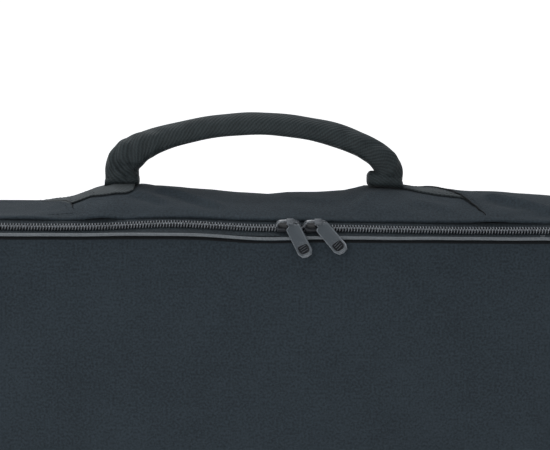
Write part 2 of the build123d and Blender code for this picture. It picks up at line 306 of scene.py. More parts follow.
def outward(obj):
    """Turns the faces of a closed mesh outwards."""
    return edit_mesh(obj, lambda edit: bmesh.ops.recalc_face_normals(edit, faces=edit.faces))


def outward_up(obj):
    """Turns an open sheet's faces upwards."""
    if obj.data.polygons[len(obj.data.polygons) // 2].normal.z < 0:
        edit_mesh(obj, lambda edit: bmesh.ops.reverse_faces(edit, faces=edit.faces))


def close_ends(obj):
    """Fills the open ends of a tube."""
    edit_mesh(obj, lambda edit: bmesh.ops.holes_fill(
        edit, edges=[e for e in edit.edges if e.is_boundary], sides=0))
    return outward(obj)


def ring_faces(rings, sides):
    """Faces of stacked rings of vertices: the first cap, the faces between, the last cap."""
    between = []
    for r in range(rings - 1):
        for k in range(sides):
            k2 = (k + 1) % sides
            between.append((r * sides + k, r * sides + k2, (r + 1) * sides + k2, (r + 1) * sides + k))
    last = (rings - 1) * sides
    return tuple(reversed(range(sides))), between, tuple(last + k for k in range(sides))


def tube(name, path, radius, sides, material, closed=False):
    """A round tube along points, with its length and girth as UVs in metres."""
    path = [Vector(p) for p in path]
    count = len(path)
    tangents = []
    for i in range(count):
        before = path[(i - 1) % count] if closed or i else path[0]
        after = path[(i + 1) % count] if closed or i < count - 1 else path[-1]
        tangents.append((after - before).normalized())
    side = tangents[0].orthogonal().normalized()
    rings, us, run = [], [], 0.0
    for i in range(count):
        side = (side - side.dot(tangents[i]) * tangents[i]).normalized()
        up = tangents[i].cross(side)
        ring = []
        for k in range(sides):
            a = 2 * pi * k / sides
            ring.append(path[i] + radius * (cos(a) * side + sin(a) * up))
        rings.append(ring)
        us.append(run)
        run += (path[(i + 1) % count] - path[i]).length
    vs = [2 * pi * radius * k / sides for k in range(sides)]
    obj = grid(name, rings, us + [run], vs, material, loop_u=closed, loop_v=True)
    return outward(obj) if closed else close_ends(obj)


def joined(name, pieces, material):
    """Many small solids as one object; pieces is a list of (verts, faces)."""
    verts, faces = [], []
    for some_verts, some_faces in pieces:
        start = len(verts)
        verts += some_verts
        faces += [tuple(start + i for i in face) for face in some_faces]
    return mesh_object(name, verts, faces, None, material)


# ---------------------------------------------------------------- materials
class Nodes:
    """A material and short ways to add nodes to it."""

    def __init__(self, name):
        self.material = bpy.data.materials.new(name)
        self.material.use_nodes = True
        self.tree = self.material.node_tree
        self.shader = self.tree.nodes["Principled BSDF"]

    def add(self, kind, **settings):
        node = self.tree.nodes.new(kind)
        for key, value in settings.items():
            setattr(node, key, value)
        return node

    def link(self, out, into):
        self.tree.links.new(out, into)

    def math(self, operation, a, b=0.0):
        node = self.add("ShaderNodeMath", operation=operation)
        for socket, value in zip(node.inputs, (a, b)):
            if isinstance(value, (int, float)):
                socket.default_value = value
            else:
                self.link(value, socket)
        return node.outputs[0]

    def weighted(self, *parts):
        """The sum of a few values, each times its weight."""
        total = None
        for value, weight in parts:
            term = self.math("MULTIPLY", value, weight)
            total = term if total is None else self.math("ADD", total, term)
        return total

    def coordinates(self, kind="UV", turn=0.0):
        source = self.add("ShaderNodeTexCoord").outputs[kind]
        mapping = self.add("ShaderNodeMapping")
        mapping.inputs["Rotation"].default_value[2] = turn
        self.link(source, mapping.inputs["Vector"])
        return mapping.outputs[0]

    def noise(self, vector, size, detail=3.0):
        node = self.add("ShaderNodeTexNoise")
        node.inputs["Scale"].default_value = 1 / size
        node.inputs["Detail"].default_value = detail
        self.link(vector, node.inputs["Vector"])
        return node.outputs["Fac"]

    def threads(self, vector, pitch, direction, wobble=1.0):
        """Parallel threads, one for each pitch, along one direction."""
        node = self.add("ShaderNodeTexWave", bands_direction=direction)
        node.inputs["Scale"].default_value = 2 * pi / 20 / pitch
        node.inputs["Distortion"].default_value = wobble
        node.inputs["Detail Scale"].default_value = 2.0
        self.link(vector, node.inputs["Vector"])
        return node.outputs["Fac"]

    def ramp(self, value, low, high, low_colour, high_colour):
        node = self.add("ShaderNodeValToRGB")
        node.color_ramp.elements[0].position = low
        node.color_ramp.elements[1].position = high
        node.color_ramp.elements[0].color = (*low_colour, 1)
        node.color_ramp.elements[1].color = (*high_colour, 1)
        self.link(value, node.inputs[0])
        return node.outputs[0]

    def bump(self, height, distance, strength=1.0):
        node = self.add("ShaderNodeBump")
        node.inputs["Distance"].default_value = distance
        node.inputs["Strength"].default_value = strength
        self.link(height, node.inputs["Height"])
        self.link(node.outputs[0], self.shader.inputs["Normal"])

    def finish(self, colour, roughness, specular, sheen=0.0, metallic=0.0):
        self.link(colour, self.shader.inputs["Base Color"])
        if isinstance(roughness, (int, float)):
            self.shader.inputs["Roughness"].default_value = roughness
        else:
            self.link(roughness, self.shader.inputs["Roughness"])
        self.shader.inputs["Specular IOR Level"].default_value = specular
        self.shader.inputs["Metallic"].default_value = metallic
        self.shader.inputs["Sheen Weight"].default_value = sheen
        self.shader.inputs["Sheen Roughness"].default_value = 0.45
        return self.material


def scaled(colour, factor):
    return tuple(c * factor for c in colour)


def woven(name, colour, pitch, relief=0.3 * MM, sheen=0.06, rough=0.8, contrast=0.5, specular=0.12):
    """Plain-woven cloth: warp and weft threads, yarn noise, broad fading and specks of lint."""
    n = Nodes(name)
    uv = n.coordinates("UV")
    warp = n.threads(uv, pitch, "X", 0.8)
    weft = n.threads(uv, pitch, "Y", 0.8)
    cloth = n.math("MULTIPLY", warp, weft)
    yarn = n.noise(uv, 1.7 * MM, 2.0)
    patches = n.noise(uv, 11 * MM, 4.0)
    fading = n.noise(n.coordinates("Object"), 60 * MM, 3.0)
    lint = n.math("GREATER_THAN", n.noise(uv, 1.5 * MM, 1.0), 0.76)
    tone = n.weighted((cloth, 0.35), (yarn, 1.5), (patches, 0.3), (fading, 0.35), (lint, 0.25))
    tone = n.math("MULTIPLY", tone, 0.5)
    shade = n.ramp(tone, 0.40, 0.78, scaled(colour, 1 - contrast), scaled(colour, 1 + 1.1 * contrast))
    height = n.math("ADD", cloth, n.math("MULTIPLY", yarn, 1.4))
    n.bump(height, relief, 0.8)
    return n.finish(shade, rough, specular, sheen)


def twill(name, colour, pitch, relief=0.27 * MM, sheen=0.05, rough=0.62):
    """Webbing: steep diagonal ribs crossed by fine weft, with a few bright worn yarns."""
    n = Nodes(name)
    slanted = n.coordinates("UV", radians(52))
    ribs = n.threads(slanted, pitch, "X", 1.6)
    fine = n.threads(n.coordinates("UV", radians(-30)), pitch * 0.8, "X", 2.0)
    yarn = n.noise(slanted, 1.3 * MM, 4.0)
    patches = n.noise(n.coordinates("Object"), 9 * MM, 3.0)
    worn = n.math("GREATER_THAN", n.noise(slanted, 1.0 * MM, 1.0), 0.72)
    tone = n.weighted((ribs, 0.35), (fine, 0.12), (yarn, 0.5), (patches, 0.45), (worn, 0.25))
    tone = n.math("MULTIPLY", tone, 0.6)
    shade = n.ramp(tone, 0.22, 0.72, scaled(colour, 0.45), scaled(colour, 1.9))
    n.bump(n.math("ADD", ribs, n.math("MULTIPLY", fine, 0.35)), relief, 0.8)
    return n.finish(shade, rough, 0.2, sheen)


def nylon(name, colour, rough=0.38, specular=0.5):
    """Drawn nylon: smooth, with slight changes of shade and shine."""
    n = Nodes(name)
    mottle = n.noise(n.coordinates("Object"), 3 * MM, 2.0)
    shade = n.ramp(mottle, 0.3, 0.8, scaled(colour, 0.7), scaled(colour, 1.4))
    roughness = n.math("ADD", n.math("MULTIPLY", mottle, 0.2), rough - 0.1)
    n.bump(n.noise(n.coordinates("Object"), 0.4 * MM, 2.0), 0.02 * MM, 0.4)
    return n.finish(shade, roughness, specular)


def enamel(name, colour, worn, rough=0.34, metallic=0.3, coat=0.2):
    """Dark enamel on zinc with a painted rim highlight: lighter on its sharp edges, and flecked with random
    scuffs.
    """
    n = Nodes(name)
    where = n.coordinates("Object")
    edge = n.add("ShaderNodeNewGeometry").outputs["Pointiness"]
    scuff = n.noise(where, 1.6 * MM, 5.0)
    # painted highlight: sharp convex edges (high pointiness) turn lighter, mixed with random scuffs; worn is
    # the colour they reach
    rim_highlight = n.math("MULTIPLY", n.math("SUBTRACT", edge, 0.5), 6.0)
    highlight_and_scuffs = n.math("ADD", rim_highlight, n.math("MULTIPLY", scuff, 0.55))
    shade = n.ramp(highlight_and_scuffs, 0.34, 0.95, colour, worn)
    roughness = n.math("ADD", n.math("MULTIPLY", scuff, 0.25), rough - 0.1)
    n.bump(n.noise(where, 0.5 * MM, 2.0), 0.05 * MM, 0.5)
    n.shader.inputs["Coat Weight"].default_value = coat
    n.shader.inputs["Coat Roughness"].default_value = 0.25
    return n.finish(shade, roughness, 0.5 if coat else 0.25, metallic=metallic)


def make_materials():
    slate = (0.0198, 0.0278, 0.0348)
    return {
        "cloth": woven("gig_bag_cloth", slate, 0.85 * MM, contrast=0.38),
        "lining": woven("lining_cloth", (0.012, 0.013, 0.015), 0.4 * MM, relief=0.1 * MM, rough=0.5),
        # piping: mid grey, a painted highlight on piping that is black; the bar tack's thread uses it too
        "piping": woven("piping_cloth", (0.098, 0.110, 0.120), 0.5 * MM, relief=0.1 * MM, rough=0.5,
                        contrast=0.25, specular=0.3),
        # seam: near-black painted shadow, for the cords under the piping, inside the coil and along the
        # patches' folds
        "seam": woven("seam_shadow", (0.0035, 0.0045, 0.0055), 0.6 * MM, relief=0.1 * MM, rough=0.9),
        "binding": woven("binding_tape", (0.010, 0.011, 0.012), 1.1 * MM, relief=0.2 * MM, rough=0.7),
        "tape": woven("zip_tape_cloth", (0.019, 0.025, 0.030), 0.6 * MM, relief=0.15 * MM, rough=0.75),
        # coil: the dark coil coloured light grey, a painted sheen standing in for its satin highlights
        "coil": nylon("zip_coil_nylon", (0.115, 0.126, 0.140), 0.28, 0.8),
        "webbing": twill("handle_webbing_weave", (0.0165, 0.0225, 0.0245), 2.1 * MM),
        # strap: the handle's webbing, painted about 1.7 times lighter: painted light on the flat ends, which
        # face up
        "strap": twill("flat_webbing_painted_lighter", (0.0300, 0.0370, 0.0400), 2.1 * MM),
        "thread": nylon("sewing_thread", (0.022, 0.027, 0.032), 0.6, 0.2),
        "loop": woven("hook_and_loop", (0.009, 0.009, 0.010), 1.6 * MM, relief=0.8 * MM, sheen=0.3,
                      rough=0.95),
        # each enamel's second colour is the colour of its painted rim highlight and scuffs
        "slider": enamel("slider_enamel", (0.005, 0.006, 0.008), (0.05, 0.056, 0.065), 0.55, 0.0, 0.0),
        "bail": enamel("bail_enamel", (0.045, 0.052, 0.060), (0.36, 0.38, 0.41), 0.26),
        "pull": enamel("pull_enamel", (0.058, 0.069, 0.079), (0.22, 0.235, 0.26), 0.38),
        "eye": enamel("pull_eye_enamel", (0.022, 0.026, 0.030), (0.12, 0.13, 0.145), 0.45, 0.0, 0.0),
    }


MAT = make_materials()


# ---------------------------------------------------------------- gusset
def wall_rise(station, y):
    """How far the gusset's cloth stands out of the CAD wall at one place."""
    cx, _, nx, nz, run = station
    t = (y - MID_Y) / HALF_Y
    shape = max(1 - abs(t) ** 2.3, 0)
    edge = smooth((1 - abs(t)) / 0.15)
    wave = edge * (ruffle(run, y, 0.9, 0.06, 1.6 * MM) + ruffle(run, y, 0.2, 0.02, 0.5 * MM))
    end = abs(nx) * (5.0 * MM * shape + wave)
    if nz < 0:
        return end * smooth(1 - 1.2 * max(-nz, 0))
    return end + (top_rise(cx, y) if abs(nx) < 0.01 else 0.0)


def make_gusset():
    """The outer cloth of top, ends and bottom, with its rolled hem over the zip."""
    wall = stations(FOLD_Z, full=True)
    across = np.linspace(0, 1, 40)
    points, us = [], []
    for station in wall:
        wall_z = station.cz + station.nz * CORNER_R
        on_zip = smooth((wall_z - FOLD_Z + 4 * MM) / (8 * MM)) if station.nz <= 0 else 1.0
        lift = HEM_LIFT * on_zip * (1 + 0.35 * noise.noise(Vector((station.run / 0.03, 2.0, 0))))
        slip = ruffle(station.run, 5.0, 0, 0.05, 0.5 * MM) * on_zip
        rise = sway(station.cx, HEM_SWAY) * (station.nz == 1)
        row = []
        for along, out in ((-1.2, -0.2), (-2.6, 0.1), (-3.0, 0.9), (-2.3, 1.9), (-0.9, 2.2)):
            y, h = band(BAND_WIDTH + along * MM + slip, out * lift / HEM_LIFT * MM * 0.8 + rise)
            row.append(place(station, y, h))
        for t in across:
            y = EDGE_Y + 0.6 * MM + t * (BACK_Y - EDGE_Y - 0.6 * MM)
            stand = (1.5 * lift + rise) * (1 - smooth(t / 0.22)) + wall_rise(station, y)
            row.append(place(station, y, CORNER_R + stand))
        points.append(row)
        us.append(station.run)
    vs = [0, 1 * MM, 2 * MM, 3 * MM, 4 * MM] + [5 * MM + t * 2 * HALF_Y for t in across]
    gusset = grid("gusset_cloth", points, us, vs, MAT["cloth"], loop_u=True)
    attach(gusset, "shell")
    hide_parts("gusset_shell", "gusset_foam")
    thicken(gusset, 1.2 * MM)
    return gusset


def make_lower_band():
    """The gusset's cloth between its edge and the foot of the front panel."""
    rows = with_length(under_stations(FOLD_Z))
    points = [[place(s, *band(a * MM, 0.15 * MM)) for a in np.linspace(0.9, 21, 8)] for s in rows]
    us, vs = [s.run for s in rows], list(np.linspace(0, 0.02, 8))
    strip = grid("gusset_lower_band", points, us, vs, MAT["cloth"])
    thicken(strip, 1.0 * MM)
    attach(strip, "shell")


# ---------------------------------------------------------------- padded panels
def panel_outline(inset, count_x=118, count_z=46):
    """A grid over a rounded rectangle; each place has its share of the way to the edge."""
    half_x = BAG_X - inset
    low, high = inset, EDGE_Z - inset
    radius = CORNER_R - inset
    mid_z, half_z = (low + high) / 2, (high - low) / 2
    points = []
    for i in range(count_x):
        u = -cos(pi * i / (count_x - 1)) * 0.35 + (2 * i / (count_x - 1) - 1) * 0.65
        row = []
        for j in range(count_z):
            v = -cos(pi * j / (count_z - 1)) * 0.35 + (2 * j / (count_z - 1) - 1) * 0.65
            x, z = u * half_x, v * half_z
            # the corners of the square grid are drawn in onto the rounded outline
            ex, ez = abs(x) - (half_x - radius), abs(z) - (half_z - radius)
            if ex > 0 and ez > 0:
                reach = max(ex, ez)
                scale = reach / sqrt(ex * ex + ez * ez)
                x = (half_x - radius + ex * scale) * (1 if x > 0 else -1)
                z = (half_z - radius + ez * scale) * (1 if z > 0 else -1)
            row.append((x, z + mid_z, max(abs(u), abs(v))))
        points.append(row)
    return points


def make_pad(name, inset, y_face, facing, material, seed):
    """A closed pad: a crowned outer face and a flatter inner face, sewn together at the edge."""
    outline = panel_outline(inset)
    rows, cols = len(outline), len(outline[0])
    verts, faces, uvs = [], [], []
    for side in (0, 1):
        for row in outline:
            for x, z, out in row:
                swell = (1 - out**6) * 0.9
                if side == 0:
                    y = y_face + facing * CROWN * swell * 0.55
                else:
                    y = y_face - facing * (1.5 * MM + (PAD - 2.5 * MM) * smooth((1 - out) / 0.035))
                verts.append((x, y, z))
    for side in (0, 1):
        for i in range(rows - 1):
            for j in range(cols - 1):
                corner = (side * rows + i) * cols + j
                quad = [corner, corner + cols, corner + cols + 1, corner + 1]
                if side:
                    quad.reverse()
                faces.append(tuple(quad))
    rim = [(i, 0) for i in range(rows)] + [(rows - 1, j) for j in range(1, cols)]
    rim += [(i, cols - 1) for i in range(rows - 2, -1, -1)] + [(0, j) for j in range(cols - 2, 0, -1)]
    rim = [i * cols + j for i, j in rim]
    for a, b in zip(rim, rim[1:] + rim[:1]):
        faces.append((a, a + rows * cols, b + rows * cols, b))
    for face in faces:
        uvs += [(verts[k][0], verts[k][2]) for k in face]
    pad = mesh_object(name, verts, faces, uvs, material)
    outward(pad)
    face_share = np.array([out for row in outline for _, _, out in row] * 2)
    settle(pad, face_share, rows * cols, seed)
    modifier = pad.modifiers.new("smooth", "SUBSURF")
    modifier.levels = modifier.render_levels = 1
    return apply_modifiers(pad)


def settle(pad, share, face_count, seed):
    """Cloth simulation: the pad swells under pressure with its edge held, and how far each
    point may move is capped."""
    rest = np.array([v.co for v in pad.data.vertices])
    held = pad.vertex_groups.new(name="seam")
    for index, out in enumerate(share):
        if out > 0.992 or index >= face_count:
            held.add([index], 1.0, "REPLACE")
    for vertex in pad.data.vertices:
        x, _, z = vertex.co
        if vertex.index < face_count and share[vertex.index] < 0.992:
            vertex.co.y += ruffle(x + seed, 0, z, 0.05, 0.6 * MM)
    cloth = pad.modifiers.new("cloth", "CLOTH")
    cloth.settings.quality = 5
    cloth.settings.mass = 0.25
    cloth.settings.tension_stiffness = 12
    cloth.settings.compression_stiffness = 12
    cloth.settings.bending_stiffness = 0.6
    cloth.settings.use_pressure = True
    cloth.settings.uniform_pressure_force = 4
    cloth.settings.shrink_min = -0.012
    cloth.settings.effector_weights.gravity = 0
    cloth.settings.vertex_group_mass = "seam"
    cloth.collision_settings.use_collision = False
    frames = 20
    cloth.point_cache.frame_start, cloth.point_cache.frame_end = 1, frames
    scene = bpy.context.scene
    for number in range(1, frames + 1):
        scene.frame_set(number)
    depsgraph = bpy.context.evaluated_depsgraph_get()
    moved = np.array([v.co for v in pad.evaluated_get(depsgraph).data.vertices])
    pad.modifiers.clear()
    pad.vertex_groups.clear()
    step = moved - rest
    cap = CROWN * 0.5 * (1 - share**8)[:, None]
    length = np.linalg.norm(step, axis=1)[:, None] + 1e-9
    kept = step / length * cap * np.tanh(length / np.maximum(cap, 1e-6))
    pad.data.vertices.foreach_set("co", (rest + kept).astype(np.float32).ravel())
    pad.data.update()
    scene.frame_set(1)


def across_fold(obj):
    """Bakes the object's transform into its mesh; nothing bends it with the front panel."""
    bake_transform(obj)


def make_panels():
    front = make_pad("front_panel_pad", PANEL_INSET, FRONT_Y, -1, MAT["cloth"], 0.0)
    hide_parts("front_panel", "front_panel_foot", "front_foam", "front_foam_foot")
    across_fold(front)
    back = make_pad("back_panel_pad", 1.0 * MM, BACK_Y, 1, MAT["cloth"], 3.0)
    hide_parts("back_panel", "back_foam")
    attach(back, "shell")


# ---------------------------------------------------------------- piping, tapes, chain
def loop_path(y, h, wobble, seed):
    """Points all round the bag at one place of the wall's section."""
    path = []
    for s in stations(FOLD_Z, full=True, coarse=5 * MM):
        lift = sway(s.cx, PIPING_SWAY) * (s.nz == 1) if y < 0 else 0.0
        aside = ruffle(s.run, seed, 0, 0.05, wobble)
        path.append(place(s, y + aside, h + lift + ruffle(s.run, seed, 4.0, 0.04, wobble)))
    return path


def make_piping():
    front = tube("front_piping_cord", loop_path(FRONT_Y - 0.45 * MM, PANEL_H + 0.6 * MM, 0.4 * MM, 1.0),
                 PIPING_R, 12, MAT["piping"], closed=True)
    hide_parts("front_piping", "front_piping_foot")
    across_fold(front)
    # a near-black cord just under the piping: painted shadow in the gap between piping and front panel
    seam = tube("front_piping_shadow_cord", loop_path(FRONT_Y - 0.1 * MM, PANEL_H - 2.1 * MM, 0.3 * MM, 1.0),
                1.2 * MM, 8, MAT["seam"], closed=True)
    across_fold(seam)
    back = tube("back_piping_cord", loop_path(BACK_Y + 0.7 * MM, CORNER_R - PIPING_R, 0.2 * MM, 7.0),
                PIPING_R, 12, MAT["piping"], closed=True)
    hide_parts("back_piping")
    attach(back, "shell")


def chain_rise(station):
    """Slow waves of the zip band, out of its plane."""
    waves = ruffle(station.run, 11.0, 0, 0.07, 0.3 * MM)
    return waves + sway(station.cx, ZIP_SWAY) * (station.nz > 0.999)


def make_tape(name, from_s, to_s, body, node):
    wall = stations(FOLD_Z + 0.4 * MM, coarse=5 * MM)
    widths = np.linspace(from_s, to_s, 7)
    points = []
    for station in wall:
        rise = chain_rise(station)
        points.append([place(station, *band(s, rise - 0.1 * MM)) for s in widths])
    tape = grid(name, points, [s.run for s in wall], list(widths), MAT["tape"])
    thicken(tape, 0.5 * MM)
    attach(tape, body)
    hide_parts(node)


def tooth(station, side, shift):
    """One turn of the nylon coil: a loop of thread that reaches over the chain's middle line."""
    cx, cz, nx, nz, _ = station
    along = Vector((nz, 0, -nx))                 # the direction of the zip
    rise = chain_rise(station)
    root, tip = 3.1 * MM, -0.55 * MM
    thread, sides = 0.40 * MM, 6
    route = [
        (root - 0.3 * MM, 0.35 * MM, -0.45 * MM),
        (root, 1.1 * MM, -0.25 * MM),
        (root - 0.7 * MM, 1.95 * MM, 0.0),
        (1.2 * MM, 2.15 * MM, 0.05 * MM),
        (tip + 0.5 * MM, 1.9 * MM, 0.1 * MM),
        (tip, 1.2 * MM, 0.2 * MM),
        (tip + 0.7 * MM, 0.45 * MM, 0.3 * MM),
        (1.4 * MM, 0.3 * MM, 0.35 * MM),
    ]
    points = []
    for reach, out, run in route:
        y, h = band(CHAIN_AT + 0.4 * rise + side * reach, out + rise)
        points.append(Vector((cx + h * nx, y, cz + h * nz)) + along * (run + shift))
    verts = []
    for i, point in enumerate(points):
        before, after = points[max(i - 1, 0)], points[min(i + 1, len(points) - 1)]
        tangent = (after - before).normalized()
        right = (along - along.dot(tangent) * tangent).normalized()
        up = tangent.cross(right)
        size = thread * (1.35 if 3 < i < 6 else 1.0)
        angles = np.arange(sides) * 2 * pi / sides
        verts += [tuple(point + size * (cos(a) * right + sin(a) * up)) for a in angles]
    first, between, last = ring_faces(len(points), sides)
    return verts, between + [first, last]


COIL_PITCH = 2.15 * MM


def even_stations(low, pitch):
    """Stations at an even pitch along the chain."""
    wall = stations(low, coarse=4 * MM)
    runs = [s.run for s in wall]
    result = []
    for run in np.arange(0, runs[-1], pitch):
        cx, cz, nx, nz = [float(np.interp(run, runs, [s[k] for s in wall])) for k in range(4)]
        size = sqrt(nx ** 2 + nz ** 2)
        result.append(Station(cx, cz, nx / size, nz / size, run))
    return result


def make_chain():
    wall = even_stations(ZIP_LOW, COIL_PITCH)
    for side, body, node in ((1, "shell", "zip_coil_gusset"), (-1, "lid", "zip_coil_panel")):
        shift = 0.0 if side > 0 else COIL_PITCH / 2
        teeth = [tooth(station, side, shift) for station in wall]
        coil = joined(node + "_teeth", teeth, MAT["coil"])
        outward(coil)
        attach(coil, body)
        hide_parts(node)
        # the coil's centre cord, coloured near black: painted shade between the coil's turns
        line = []
        for station in stations(ZIP_LOW, coarse=4 * MM):
            rise = chain_rise(station)
            line.append(place(station, *band(CHAIN_AT + 0.4 * rise + side * 1.75 * MM, 1.15 * MM + rise)))
        cord = tube(node + "_filler_cord_painted_shade", line, 0.72 * MM, 8, MAT["seam"])
        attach(cord, body)


def make_bar_tack():
    """The short row of stitches across the lower tape, right of the sliders."""
    pieces = []
    for k in range(4):
        points, outs = [], []
        for s in (1.6, 3.2, 4.8):
            y, h = band(s * MM, 0.25 * MM)
            points.append((0.211 + 0.9 * MM * k, y, Z_C + h))
            outs.append((0, -T_H, T_Y))
        pieces += stitch_line(points, outs, pitch=1.6 * MM, length=1.7 * MM, width=0.4 * MM)
    tack = joined("zip_bar_tack", pieces, MAT["piping"])
    outward(tack)
    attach(tack, "lid")


# ---------------------------------------------------------------- stitches
def stitch(middle, along, out, length, width):
    """One stitch: a flattened bead that dips into the cloth at both ends."""
    across = along.cross(out)
    verts = []
    rings, sides = 4, 5
    for i in range(rings):
        t = i / (rings - 1) * 2 - 1
        girth = width * (0.35 + 0.65 * sqrt(max(1 - t * t, 0)))
        centre = middle + along * (t * length / 2) + out * (0.25 * width * (1 - t * t) - 0.2 * width)
        for k in range(sides):
            a = 2 * pi * k / sides
            verts.append(tuple(centre + girth * (cos(a) * across + 0.7 * sin(a) * out)))
    first, between, last = ring_faces(rings, sides)
    return verts, between + [first, last]


def stitch_line(points, outs, pitch=3.4 * MM, length=2.5 * MM, width=0.34 * MM):
    """Stitches at an even pitch along a line of points with their outward directions."""
    points = [Vector(p) for p in points]
    runs = [0.0]
    for a, b in zip(points, points[1:]):
        runs.append(runs[-1] + (b - a).length)
    result = []
    for run in np.arange(pitch / 2, runs[-1], pitch):
        i = min(int(np.searchsorted(runs, run)), len(points) - 1)
        share = (run - runs[i - 1]) / max(runs[i] - runs[i - 1], 1e-9)
        along = (points[i] - points[i - 1]).normalized()
        out = Vector(outs[i - 1]).lerp(Vector(outs[i]), share)
        out = (out - out.dot(along) * along).normalized()
        result.append(stitch(points[i - 1].lerp(points[i], share), along, out, length, width))
    return result


def make_edge_stitches():
    """Topstitching along the gusset's hem, above the zip."""
    points, outs = [], []
    y = EDGE_Y + 4.2 * MM
    for s in stations(FOLD_Z + 2 * MM, coarse=5 * MM):
        points.append(place(s, y, CORNER_R + HEM_LIFT * (1 - smooth(0.3)) + wall_rise(s, y) + 0.1 * MM))
        outs.append((s.nx, -0.25, s.nz))
    line = joined("gusset_edge_stitches", stitch_line(points, outs), MAT["thread"])
    outward(line)
    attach(line, "shell")


# ---------------------------------------------------------------- handle
def spline(points, count):
    """Even points on a smooth line through a few given ones."""
    points = [np.array(p, float) for p in points]
    padded = [2 * points[0] - points[1]] + points + [2 * points[-1] - points[-2]]
    line = []
    for i in range(1, len(padded) - 2):
        p0, p1, p2, p3 = padded[i - 1 : i + 3]
        for t in np.linspace(0, 1, 24, endpoint=False):
            line.append(0.5 * (2 * p1 + (p2 - p0) * t + (2 * p0 - 5 * p1 + 4 * p2 - p3) * t**2
                               + (3 * p1 - p0 - 3 * p2 + p3) * t**3))
    line.append(points[-1])
    line = np.array(line)
    steps = np.concatenate([[0], np.cumsum(np.linalg.norm(np.diff(line, axis=0), axis=1))])
    even = np.linspace(0, steps[-1], count)
    return np.stack([np.interp(even, steps, line[:, k]) for k in range(line.shape[1])], axis=1)


def strap_top(x, y):
    """Height of the gusset's patch under the sewn webbing at one place."""
    return EDGE_Z + top_rise(x, y) + 0.9 * MM


# the rolled handle's middle line from the left foot to the right: x, z above the long edges,
# half thickness in the plane of the arch, half width from front to back, all in mm
HANDLE_LINE = [
    (-101.5, 19.5, 13.0, 9.5), (-101.5, 27.0, 12.9, 9.5), (-101.0, 33.5, 13.0, 9.8),
    (-97.5, 40.5, 13.0, 10.0), (-88.5, 47.3, 11.8, 9.8), (-76.5, 52.8, 10.0, 9.4),
    (-57.5, 58.9, 9.0, 9.2), (-29.5, 64.6, 8.8, 9.0),
    (0.0, 67.0, 8.6, 9.0), (25.5, 65.7, 8.7, 9.0), (53.0, 61.2, 9.0, 9.2), (71.5, 55.6, 9.2, 9.4),
    (85.0, 49.8, 9.4, 9.6), (94.5, 43.8, 9.8, 9.8), (100.5, 37.8, 10.4, 9.8), (103.3, 31.5, 10.8, 9.6),
    (103.8, 25.5, 10.6, 9.0), (104.4, 20.5, 10.2, 8.0),
]
# creases of the rolled webbing: (share of its length, width, slant, depth in mm)
HANDLE_FOLDS = [
    (0.030, 0.010, 0.060, 2.0), (0.068, 0.012, 0.065, 1.1), (0.105, 0.012, -0.060, 0.9),
    (0.15, 0.016, 0.07, 0.7), (0.30, 0.03, 0.05, 0.4), (0.55, 0.03, -0.05, 0.35),
    (0.83, 0.02, -0.05, 0.6), (0.90, 0.014, -0.05, 0.8), (0.955, 0.010, 0.03, 1.0),
]


def handle_relief(share, angle):
    """Folds, the overlapping hem along the inner side, and soft unevenness, in metres."""
    relief, front = 0.0, 0.3 + 0.7 * max(cos(angle), 0)
    for where, width, slant, depth in HANDLE_FOLDS:
        across = share - where - slant * sin(angle + 9 * where)
        relief -= front * depth * (bump(across, width) - 0.5 * bump(abs(across) - 2 * width, width))
    hem = (angle / (2 * pi) - 0.86 - 0.015 * sin(9 * share)) % 1.0
    relief += 1.0 * (1 - smooth(hem / 0.26)) * smooth(hem / 0.012) - 0.5 * bump(hem - 0.995, 0.02)
    foot = 1 - smooth(min(share, 1 - share) / 0.16)
    relief += 0.45 * foot * noise.noise(Vector((8 * cos(angle), 8 * sin(angle), 20 * share)) / 4)
    relief += 0.5 * noise.noise(Vector((3 * cos(angle), 3 * sin(angle), 34 * share)) / 3)
    return relief * MM


def squared(value, power):
    """A sine or cosine bent towards a square; power 1 leaves it round."""
    return np.sign(value) * abs(value) ** power


def make_handle():
    """The rolled webbing handle, from foot to foot."""
    path = spline([(x * MM, EDGE_Z + z * MM, a * MM, b * MM) for x, z, a, b in HANDLE_LINE], 240)
    sides = 64
    rings, us, run = [], [], 0.0
    for i, (x, z, thick, wide) in enumerate(path):
        before, after = path[max(i - 1, 0)], path[min(i + 1, len(path) - 1)]
        tangent = Vector((after[0] - before[0], 0, after[1] - before[1])).normalized()
        out = Vector((-tangent.z, 0, tangent.x))
        share = i / (len(path) - 1)
        close = smooth(min(i, len(path) - 1 - i) / 5 + 0.45)
        ring = []
        for k in range(sides):
            angle = 2 * pi * k / sides
            c, s = cos(angle), sin(angle)
            relief = handle_relief(share, angle)
            off = (thick * close + relief) * squared(s, 0.86)
            side = (wide * close + relief) * squared(c, 0.86)
            ring.append(Vector((x, MID_Y - side, z)) + out * off)
        rings.append(ring)
        us.append(run)
        run += sqrt((after[0] - x) ** 2 + (after[1] - z) ** 2)
    vs = [2 * pi * GRIP_R * k / sides for k in range(sides)]
    handle = grid("handle_webbing_roll", rings, us + [run], vs, MAT["webbing"], loop_v=True)
    close_ends(handle)
    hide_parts("handle_webbing", "handle_core")
    bend_with_handle(handle)


def bend_with_handle(obj):
    low = strap_top(LEG_X, MID_Y)
    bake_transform(obj)


# the webbing folded back under each leg: x, z above the long edges and radius, all in mm
FOOT_ROLLS = {
    "right": [(114.6, 19.5, 3.4), (112.5, 22.4, 5.2), (106.0, 24.0, 6.2), (98.0, 25.0, 6.6),
              (91.5, 25.0, 6.4), (88.6, 25.0, 5.9), (86.9, 25.0, 3.6)],
    "left": [(-114.5, 19.6, 3.6), (-111.0, 22.2, 4.6), (-103.0, 23.0, 5.0), (-94.0, 23.0, 5.2),
             (-89.6, 22.8, 4.6), (-88.4, 22.6, 3.0)],
}


